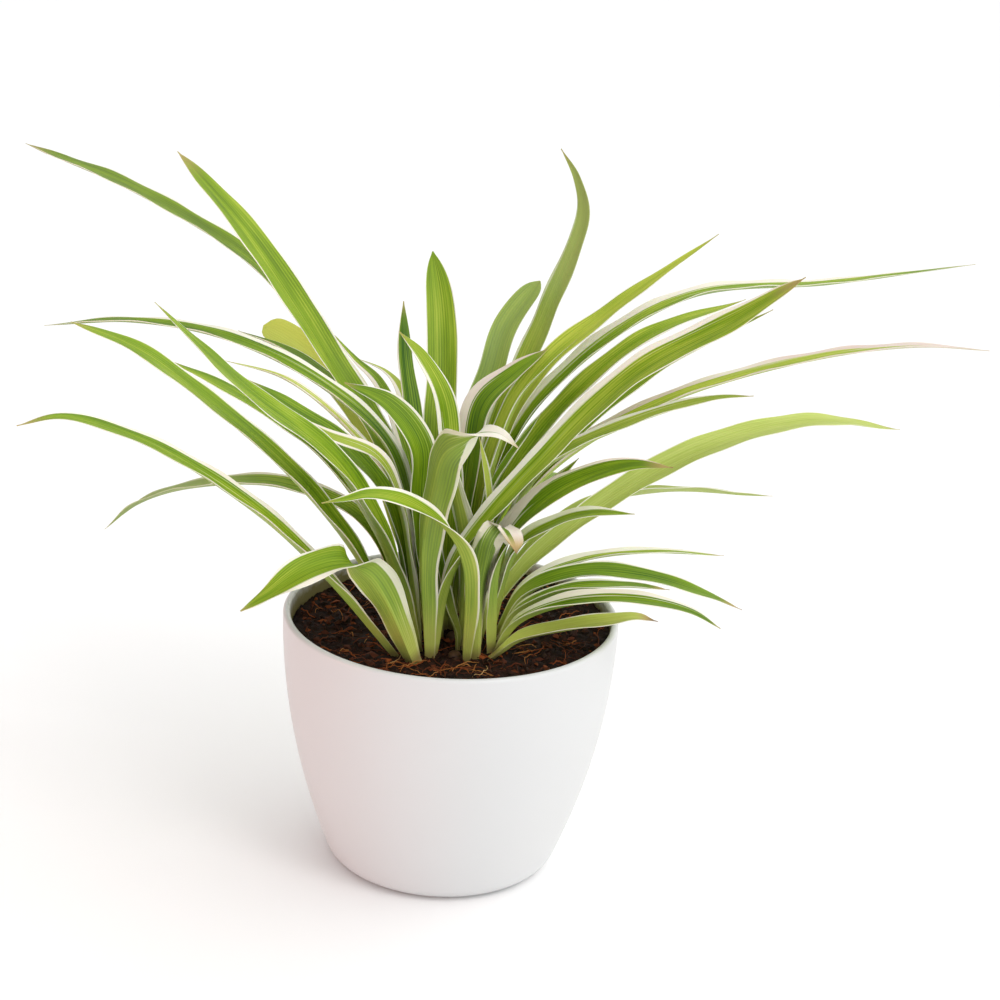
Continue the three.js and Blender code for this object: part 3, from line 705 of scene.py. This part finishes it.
def strap_leaf(leaf, material, seed):
    """Builds one leaf as a thin closed blade: an open V across, thick at the midrib, thin at the
    edges, with margins that ripple.

    Its row gives the width, the turn about the midrib from the foot (facing), as it rises (roll)
    and over a share of its length (twist, twist_over), the share where it is widest, how blunt it
    tapers, the foot's place and the points that its midrib passes, in millimetres and degrees.
    margins are the cream shares of the left and right half, and fade says from where and how much
    they change towards the tip. tone goes from dark green 0 to light green 1. yellow, pink and
    dull tint the green, the cream and the outer half, dry is the share of the tip that has dried,
    and wave is how far the margins ripple."""
    centre, side, up, share, length = blade_stations(leaf)
    run = (share * length)[:, None]
    uneven = 1 + OUTLINE_WANDER * (np.sin(run / 13 + seed) + 0.5 * np.sin(run / 5 + 2 * seed))
    half = blade_width(leaf, share)[:, None] / 2 * uneven
    channel = CHANNEL_AT_FOOT + (CHANNEL_AT_TIP - CHANNEL_AT_FOOT) * smooth(share)
    channel = np.radians(channel)[:, None]
    across = np.sin(np.linspace(-1, 1, POINTS_ACROSS) * math.pi / 2)[None, :]
    raised = (np.sqrt(across ** 2 + FOLD ** 2) - FOLD) / (math.sqrt(1 + FOLD ** 2) - FOLD)
    phase = 2 * math.pi * run / RIPPLE_LENGTH + seed + 1.9 * (across > 0)
    ripple = leaf["wave"] * across ** 4 * np.sin(phase) * smooth(share / 0.2)[:, None]
    out = half * np.cos(channel) * across
    lift = half * np.sin(channel) * raised + ripple * np.minimum(1, half / 4)
    slim = np.minimum(1, half / 2.5)
    thick = (EDGE_THICKNESS + (RIB_THICKNESS - EDGE_THICKNESS) * (1 - across ** 2) ** 1.5) * slim
    keel = KEEL["height"] * np.exp(-(across / KEEL["width"]) ** 2) * slim

    sheets = [centre[:, None] + side[:, None] * out[..., None] + up[:, None] * height[..., None]
              for height in (lift + thick / 2, lift - thick / 2 - keel)]
    vertices = np.stack(sheets, 1).reshape(-1, 3)
    piece = mesh_piece("blade_" + leaf["name"], vertices, blade_skin(len(share)), material)
    left_margin, right_margin = leaf["margins"]
    grown = 0.6 + 0.4 * smooth(share / 0.3)[:, None]
    fade_start, fade_to = leaf["fade"]
    ends = 1 + (fade_to - 1) * smooth((share - fade_start) / 0.25)[:, None]
    traits = {
        "across": across, "reach": share[:, None], "span": leaf["width"] / 2 * across, "run": run,
        "margin": np.where(across < 0, left_margin, right_margin) * grown * ends,
        "tone": leaf["tone"], "yellow": leaf["yellow"], "pink": leaf["pink"],
        "dry": leaf["dry"], "seed": seed * 7.3,
    }
    for trait, values in traits.items():
        spread = np.broadcast_to(values, out.shape)
        mark(piece, trait, np.stack([spread, spread], 1).ravel())
    outer_half = np.broadcast_to(smooth((share - 0.4) / 0.4)[:, None], out.shape)
    dull = leaf["dull"] * outer_half
    mark(piece, "under", np.stack([dull, np.maximum(dull, 1)], 1).ravel())
    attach(piece, "root")
    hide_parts("leaf_" + leaf["name"])


variegated_tissue = leaf_tissue("variegated_leaf_tissue", LEAF_GREENS)
pale_tissue = leaf_tissue("pale_leaf_tissue", PALE_GREENS)
growth = random.Random(LEAF_SEED)


def grow(leaves):
    """Builds a tuft's leaves. Each takes a seed of its own, so that no two are streaked alike."""
    for row in leaves:
        leaf = {**USUAL_LEAF, **row}
        seed = growth.uniform(0, 40)
        if leaf["pale"]:
            strap_leaf(leaf, pale_tissue, seed)
        else:
            strap_leaf(leaf, variegated_tissue, seed)


grow([
    dict(name="back_01", width=11, foot=(3, 16), margins=(0.2, 0.2),
         path=[(4, 38, 122), (8, 68, 138), (12, 96, 132)]),
    dict(name="back_02", width=12, foot=(-3, 22), margins=(0.2, 0.2), tone=0.6,
         path=[(-8, 45, 124), (-18, 70, 138), (-28, 94, 132)]),
    dict(name="back_03", width=10, foot=(10, 17), margins=(0.2, 0.2),
         path=[(20, 38, 122), (36, 62, 134), (52, 84, 126)]),
])

# Left tuft. Its outer leaves arch far out to the left, most of them bright green with a narrow
# pale edge, and the shorter ones behind carry broad cream margins.
grow([
    dict(name="left_01", width=14, roll=-5, taper=6.5, foot=(-8, 15),
         margins=(0.08, 0.1), tone=0.22, yellow=0.1,
         path=[(-31, 52, 150), (-80, 81, 206), (-129, 96, 232), (-180, 115, 247)]),
    dict(name="left_02", width=14, roll=10, taper=6, foot=(-11, 3),
         margins=(0.06, 0.07), tone=0.46, yellow=0.05, dry=0.012,
         path=[(-28, 18, 155), (-49, 38, 183), (-84, 45, 232), (-112, 59, 259)]),
    dict(name="left_03", width=12, foot=(-10.5, -2), margins=(0.12, 0.26), tone=0.38, pink=0.2,
         path=[(-26, 11, 159), (-50, 18, 180), (-88, 28, 195), (-127, 40, 197), (-162, 52, 190)]),
    dict(name="left_04", width=13, roll=15, taper=4.5, foot=(-19, -21),
         margins=(0.07, 0.09), tone=0.53,
         path=[(-34, -22, 127), (-61, -30, 164), (-97, -36, 197), (-115, -38, 210),
               (-136, -40, 219)]),
    dict(name="left_05", width=15, roll=30, taper=2, foot=(-13, -21), margins=(0.08, 0.04), tone=0.46,
         path=[(-24, -24, 132), (-44, -36, 170), (-75, -54, 202), (-103, -70, 236)]),
    dict(name="left_06", width=11, roll=15, taper=3.2, foot=(-16, -15),
         margins=(0.08, 0.1), tone=0.48,
         path=[(-26, -12, 129), (-50, -14, 165), (-79, -20, 188), (-105, -26, 203)]),
    dict(name="left_07", width=7, roll=-5, foot=(-13.5, -2.5),
         margins=(0.4, 0.4), tone=0.6, yellow=0.5, pink=0.6,
         path=[(-27, 2, 152), (-43, 3, 172), (-65, 8, 187), (-89, 12, 192)]),
    dict(name="left_08", width=11, roll=25, taper=4.5, foot=(-13.5, -9),
         margins=(0.05, 0.06), tone=0.34,
         path=[(-27, -8, 149), (-45, -9, 170), (-62, -12, 182), (-77, -14, 193)]),
    dict(name="left_09", width=12, roll=20, taper=2.4, foot=(-21, -27),
         margins=(0.08, 0.24), pink=0.7, dry=0.02,
         path=[(-45, -36, 126), (-69, -50, 155), (-105, -70, 186), (-132, -84, 199),
               (-145, -92, 198)]),
    dict(name="left_10", width=12, roll=5, taper=3, foot=(-17.5, -9), margins=(0.1, 0.16), dull=2.5,
         path=[(-32, 2, 131), (-64, 22, 139), (-105, 48, 128), (-128, 61, 115), (-142, 70, 100)]),
    dict(name="left_11", width=10, roll=20, foot=(-12, -15),
         margins=(0.35, 0.35), tone=0.46, yellow=0.3, pink=0.8,
         path=[(-21, -15, 148), (-30, -20, 168), (-48, -24, 177), (-63, -28, 187)]),
    # Its yellow-green is the leaf's own, set paler and brighter as painted light against the shade that
    # it lies in.
    dict(name="left_12", width=12, roll=30, taper=40, foot=(-11, 9),
         margins=(0.03, 0.03), tone=0.7, yellow=0.75, dry=-0.06, pale=True,
         path=[(-35, 41, 157), (-60, 57, 182), (-70, 63, 187), (-79, 67, 190)]),
    dict(name="left_13", width=10, roll=-10, taper=2.8, foot=(-14.5, 3),
         margins=(0.5, 0.08), tone=0.3,
         path=[(-28, 30, 154), (-55, 44, 179), (-71, 49, 187), (-88, 58, 190)]),
    dict(name="left_14", width=9, roll=-10, foot=(-6, 10.5), margins=(1, 0.05), pink=0.9,
         path=[(-23, 44, 153), (-33, 50, 174), (-42, 55, 181), (-52, 60, 191)]),
    dict(name="left_15", width=9, roll=-15, foot=(-4, 15),
         margins=(1.3, 0.1), tone=0.44, yellow=0.4, pink=0.9,
         path=[(-20, 55, 154), (-25, 63, 168), (-31, 69, 173), (-42, 75, 176)]),
    dict(name="left_16", width=14, roll=35, taper=3, foot=(-8, -9), margins=(0.07, 0.16), tone=0.36,
         path=[(-14, -7, 148), (-15, -6, 169), (-26, -4, 183), (-43, -2, 190)]),
])

# Middle tuft. Young leaves that stand up in the centre, and a few broad ones that bend over
# towards the front.
grow([
    dict(name="centre_01", width=9, roll=-15, taper=4, foot=(-6, 4),
         margins=(0.15, 0.05), tone=0.2, pink=0.9,
         path=[(-15, 9, 154), (-20, 28, 176), (-23, 38, 191), (-24, 48, 208)]),
    dict(name="centre_02", width=13, roll=10, taper=7.5, foot=(-2, 10),
         margins=(0.06, 0.06), yellow=0.05, dry=-0.06,
         path=[(-8, 28, 159), (-8, 42, 182), (-10, 56, 205), (-14, 68, 223)]),
    dict(name="centre_03", width=12, roll=25, taper=3, foot=(-3.5, -3), margins=(0.4, 0.08), tone=0.6,
         path=[(-4, -2, 154), (-7, 4, 183), (-15, 6, 198), (-24, 6, 208)]),
    dict(name="centre_04", width=5, roll=15, taper=3, foot=(-3.5, -9), margins=(0.12, 0.12),
         path=[(-7, -12, 126), (-6, -12, 162), (-6, -12, 173), (-7, -12, 184)]),
    dict(name="centre_05", width=15, facing=80, twist=-100, twist_over=(0.7, 0.9),
         widest=0.65, taper=2, foot=(-8.5, -28),
         margins=(0.1, 0.06), tone=0.42, pink=0.4, fade=(0.7, 16),
         path=[(-11, -36, 140), (-8, -43, 166), (-5, -48, 180), (1, -53, 187),
               (8, -58, 192), (14, -62, 193), (20, -66, 190)]),
    dict(name="centre_06", width=11, taper=3, foot=(3.5, -15.5), margins=(0.35, 0.35), tone=0.65,
         path=[(4, -20, 118), (3, -20, 138), (-1, -22, 158), (-4, -24, 173)]),
    dict(name="centre_07", width=6, roll=-40, foot=(5.5, -20.5),
         margins=(0.8, 0.1), tone=0.9, yellow=0.2,
         path=[(11, -28, 129), (13, -23, 149), (11, -23, 164), (7, -27, 180)]),
    dict(name="centre_09", width=11, twist=50, widest=0.35, taper=2, foot=(5.5, -30.5),
         margins=(0.12, 0.3), tone=0.6,
         path=[(4, -43, 136), (-2, -48, 151), (-13, -54, 162), (-22, -60, 168),
               (-31, -64, 170), (-38, -67, 169), (-46, -70, 168)]),
    dict(name="centre_10", width=12, roll=-5, twist=25, widest=0.65, taper=8, foot=(10.5, -28),
         margins=(0.35, 0.12), tone=0.3, dry=0.06, pink=1.2, fade=(0.62, 4),
         path=[(10, -29, 114), (11, -33, 132), (14, -41, 148), (17, -39, 150),
               (20, -43, 148), (22, -47, 144)]),
    dict(name="centre_11", width=7, roll=5, foot=(2.5, -21), margins=(0.12, 0.12), tone=0.25,
         path=[(2, -20, 101), (-2, -20, 112), (-6, -18, 129), (-8, -17, 150)]),
])

# Right tuft. A dense fan that sweeps to the right, with old pale leaves behind and a low row
# of short leaves that hang over the rim.
grow([
    dict(name="right_01", width=13, roll=25, taper=2.3, foot=(7, 12),
         margins=(0.15, 0.05), tone=0.7, yellow=0.1, dull=2.4,
         path=[(15, 32, 159), (32, 54, 204), (44, 72, 239), (41, 78, 252), (34, 86, 262)]),
    dict(name="right_02", width=11, taper=20, foot=(6, 5),
         margins=(0.05, 0.05), tone=0.4, dry=-0.03, dull=1.8,
         path=[(4, 22, 162), (11, 34, 185), (16, 46, 201), (28, 58, 216)]),
    dict(name="right_03", width=15, roll=-10, taper=4, foot=(1.5, -1.5),
         margins=(0.4, 0.08), tone=0.32, pink=1.4,
         path=[(5, 4, 160), (8, 10, 181), (19, 13, 192), (31, 17, 201)]),
    dict(name="right_04", width=13, roll=-10, taper=1.7, foot=(5.5, -3),
         margins=(0.05, 0.05), tone=0.84,
         path=[(15, 6, 164), (28, 14, 191), (53, 23, 214), (93, 37, 243)]),
    dict(name="right_05", width=12, taper=1.6, foot=(7.5, -1.5),
         margins=(0.42, 0.06), tone=0.55, pink=0.6,
         path=[(19, 8, 164), (41, 18, 193), (83, 39, 217), (141, 65, 219), (202, 91, 223)]),
    dict(name="right_06", width=14, roll=-35, taper=5, foot=(-5, -25.5),
         margins=(0.3, 0.05), tone=0.63, pink=0.4, dry=0.02,
         path=[(1, -28, 130), (31, -32, 174), (61, -38, 210), (94, -46, 234), (114, -52, 251)]),
    dict(name="right_07", width=12, roll=-10, foot=(11.5, -2), margins=(0.06, 0.2), tone=0.62,
         path=[(19, 5, 149), (33, 12, 173), (65, 10, 208), (104, 27, 221)]),
    dict(name="right_08", width=9, roll=-15, taper=2.4, foot=(8.5, -10.5),
         margins=(0.25, 0.12), tone=0.58,
         path=[(16, -3, 140), (37, -6, 169), (73, 1, 201), (111, 0, 225)]),
    dict(name="right_09", width=11, foot=(15, -3),
         margins=(0.34, 0.24), tone=0.68, yellow=0.25, pink=1.6, fade=(0.73, 5),
         path=[(21, 1, 138), (37, -4, 163), (74, 6, 185), (125, 16, 201),
               (168, 24, 207), (198, 30, 205)]),
    dict(name="right_10", width=12, roll=-15, taper=2.4, foot=(12, -9),
         margins=(0.28, 0.08), tone=0.66, yellow=0.1,
         path=[(21, -10, 139), (31, -21, 167), (64, -26, 189), (88, -38, 202), (101, -45, 206)]),
    # Its tone is set lighter than the leaf's own, painted light against the shade on its lower part.
    dict(name="right_11", width=15, roll=-10, taper=2.8, foot=(13, 4),
         margins=(0.03, 0.03), tone=0.62, pale=True,
         path=[(26, 16, 110), (56, 34, 132), (99, 58, 151), (142, 80, 157), (181, 98, 150)]),
    dict(name="right_12", width=11, roll=15, taper=2.8, foot=(11, 11),
         margins=(0.03, 0.03), tone=0.4, pale=True,
         path=[(26, 28, 110), (49, 46, 127), (81, 62, 131), (129, 82, 124)]),
    dict(name="right_13", width=14, roll=-40, taper=2, foot=(16.5, -21),
         margins=(0.65, 0.05), tone=0.38, pink=1.3, dry=0.04, fade=(0.4, 0.3),
         path=[(18, -28, 138), (33, -32, 160), (50, -39, 173), (62, -43, 178), (75, -47, 179)]),
    dict(name="right_14", width=9, roll=-20, foot=(15.5, -9),
         margins=(0.5, 0.08), tone=0.48, yellow=0.1,
         path=[(24, -10, 132), (37, -12, 143), (49, -16, 149), (65, -20, 151)]),
    dict(name="right_15", width=7, foot=(18, -3), margins=(0.6, 0.05), tone=0.7, dry=0.03,
         path=[(29, 4, 112), (48, 12, 119), (75, 20, 121), (105, 30, 117)]),
    dict(name="right_16", width=12, roll=-10, taper=2.1, foot=(18.5, -9),
         margins=(0.1, 0.1), tone=0.32, dry=0.05,
         path=[(27, -7, 111), (45, -4, 119), (70, -2, 119), (95, -1, 113), (110, 0, 107)]),
    dict(name="right_17", width=9, foot=(18.5, -15), margins=(0.2, 0.08), tone=0.4, dry=0.05,
         path=[(25, -17, 109), (40, -20, 119), (63, -26, 125), (79, -30, 126)]),
    dict(name="right_18", width=11, roll=-10, taper=2.1, foot=(18, -21.5),
         margins=(0.42, 0.1), tone=0.3,
         path=[(25, -25, 108), (42, -32, 119), (67, -42, 126), (86, -48, 125), (96, -52, 121)]),
    dict(name="right_19", width=10, roll=-5, taper=4, foot=(17, -27),
         margins=(0.05, 0.05), yellow=0.4, dry=0.09, pale=True,
         path=[(26, -27, 102), (42, -27, 107), (59, -27, 111), (68, -27, 113), (76, -27, 112)]),
    dict(name="right_20", width=5, roll=25, foot=(5.5, -9), margins=(0.12, 0.12), tone=0.7,
         path=[(12, -4, 156), (21, 0, 186), (31, 2, 199), (41, 4, 209)]),
    dict(name="right_21", width=8, roll=-20, foot=(8.5, -14.5), margins=(0.06, 0.3), tone=0.36,
         path=[(12, -15, 152), (19, -16, 169), (25, -18, 180), (29, -19, 188)]),
    dict(name="right_22", width=9, roll=-30, taper=4, foot=(11.5, -15),
         margins=(0.55, 0.4), tone=0.72, pink=0.9,
         path=[(18, -18, 136), (27, -24, 152), (36, -25, 164), (43, -27, 174)]),
])

# Front leaf. A broad, light leaf with ruffled cream margins that curls over the left rim.
grow([
    dict(name="front_01", width=17, facing=-60, twist=80, twist_over=(0.45, 0.6),
         widest=0.5, taper=2.2, foot=(-13, -34),
         margins=(0.3, 0.1), tone=0.52, wave=1.3,
         path=[(-24, -42, 122), (-31, -48, 134), (-39, -54, 140), (-50, -60, 139),
               (-63, -66, 132), (-73, -71, 127)]),
])

# Stage. A pale plain floor that runs on past the picture, under soft studio light: white walls
# that are dimmer on the left, a broad key light from the upper right, and a faint rose bounce
# that comes from low on the left.
FLOOR_SIZE = 40
FLOOR_WHITE = "#fcfcfc"
DIM_WALL = "#8c8c8c"
WHITE_WALL = "#ffffff"
DIM_UP_TO = -0.9
WHITE_FROM = 0.5
SURROUND_STRENGTH = 1.45


def pale_sweep():
    """Matt studio paper."""
    material, tree = blank_material("pale_sweep")
    place = add_node(tree, "NewGeometry").outputs["Position"]
    tooth = add_node(tree, "TexNoise", {"Vector": place, "Scale": 1 / (2 * MM), "Detail": 2.0})
    bump = add_node(tree, "Bump", {"Height": tooth, "Strength": 0.02, "Distance": 0.1 * MM})
    shader = add_node(tree, "BsdfPrincipled", {
        "Base Color": colour(FLOOR_WHITE), "Roughness": 0.9, "Normal": bump, "Specular IOR Level": 0.2})
    add_node(tree, "OutputMaterial", {"Surface": shader})
    return material


def soft_light(name, place, aim, size, power, tint):
    """A round studio lamp behind a diffuser, aimed at a place."""
    lamp = bpy.data.lights.new(name, "AREA")
    lamp.shape = "DISK"
    lamp.size = size
    lamp.energy = power
    lamp.color = colour(tint)[:3]
    fixture = bpy.data.objects.new(name, lamp)
    fixture.location = place
    fixture.rotation_euler = (Vector(aim) - Vector(place)).to_track_quat("-Z", "Y").to_euler()
    bpy.context.scene.collection.objects.link(fixture)


floor_edge = FLOOR_SIZE / 2 / MM
floor_corners = [(-floor_edge, -floor_edge, 0), (floor_edge, -floor_edge, 0),
                 (floor_edge, floor_edge, 0), (-floor_edge, floor_edge, 0)]
floor = mesh_piece("floor", floor_corners, [(0, 1, 2, 3)], pale_sweep())

surround = bpy.data.worlds.new("surround")
surround.use_nodes = True
room = surround.node_tree
way = add_node(room, "TexCoord").outputs["Generated"]
sideways = add_node(room, "SeparateXYZ", {0: way}).outputs["X"]
to_right = add_node(room, "MapRange", {
    "Value": sideways, "From Min": DIM_UP_TO, "From Max": WHITE_FROM})
walls = add_node(room, "MixRGB", {
    "Fac": to_right, "Color1": colour(DIM_WALL), "Color2": colour(WHITE_WALL)})
background = room.nodes["Background"]
room.links.new(walls.outputs[0], background.inputs["Color"])
background.inputs["Strength"].default_value = SURROUND_STRENGTH
bpy.context.scene.world = surround
bpy.context.scene.view_settings.view_transform = "Standard"

plant_middle = (0, 0, 0.12)
pot_middle = (0, 0, 0.04)
soft_light("key_light", (0.6, -0.8, 1.3), plant_middle, size=0.5, power=4, tint="#fffdfa")
soft_light("rose_bounce", (-0.66, -0.24, 0.04), pot_middle, size=0.3, power=1.3, tint="#ff8868")

# Camera. It stands a little above the plant and some way off, and looks down on it with the
# frame tipped a few degrees.
CAMERA_PLACE = (0, -0.8292, 0.4508)
CAMERA_YAW = math.radians(1.111)
CAMERA_PITCH = math.radians(20.14)
CAMERA_ROLL = math.radians(3.171)
LENS = 85.4
SENSOR = 36

level = math.cos(CAMERA_PITCH)
forward = Vector((
    math.sin(CAMERA_YAW) * level, math.cos(CAMERA_YAW) * level, -math.sin(CAMERA_PITCH)))
right = forward.cross(Vector((0, 0, 1))).normalized()
above = right.cross(forward)
tipped_right = math.cos(CAMERA_ROLL) * right + math.sin(CAMERA_ROLL) * above
tipped_up = -math.sin(CAMERA_ROLL) * right + math.cos(CAMERA_ROLL) * above
lens = bpy.data.cameras.new("camera")
lens.sensor_width = SENSOR
lens.lens = LENS
camera = bpy.data.objects.new("camera", lens)
facing = Matrix((tipped_right, tipped_up, -forward)).transposed()
camera.matrix_world = Matrix.Translation(CAMERA_PLACE) @ facing.to_4x4()
bpy.context.scene.collection.objects.link(camera)
bpy.context.scene.camera = camera
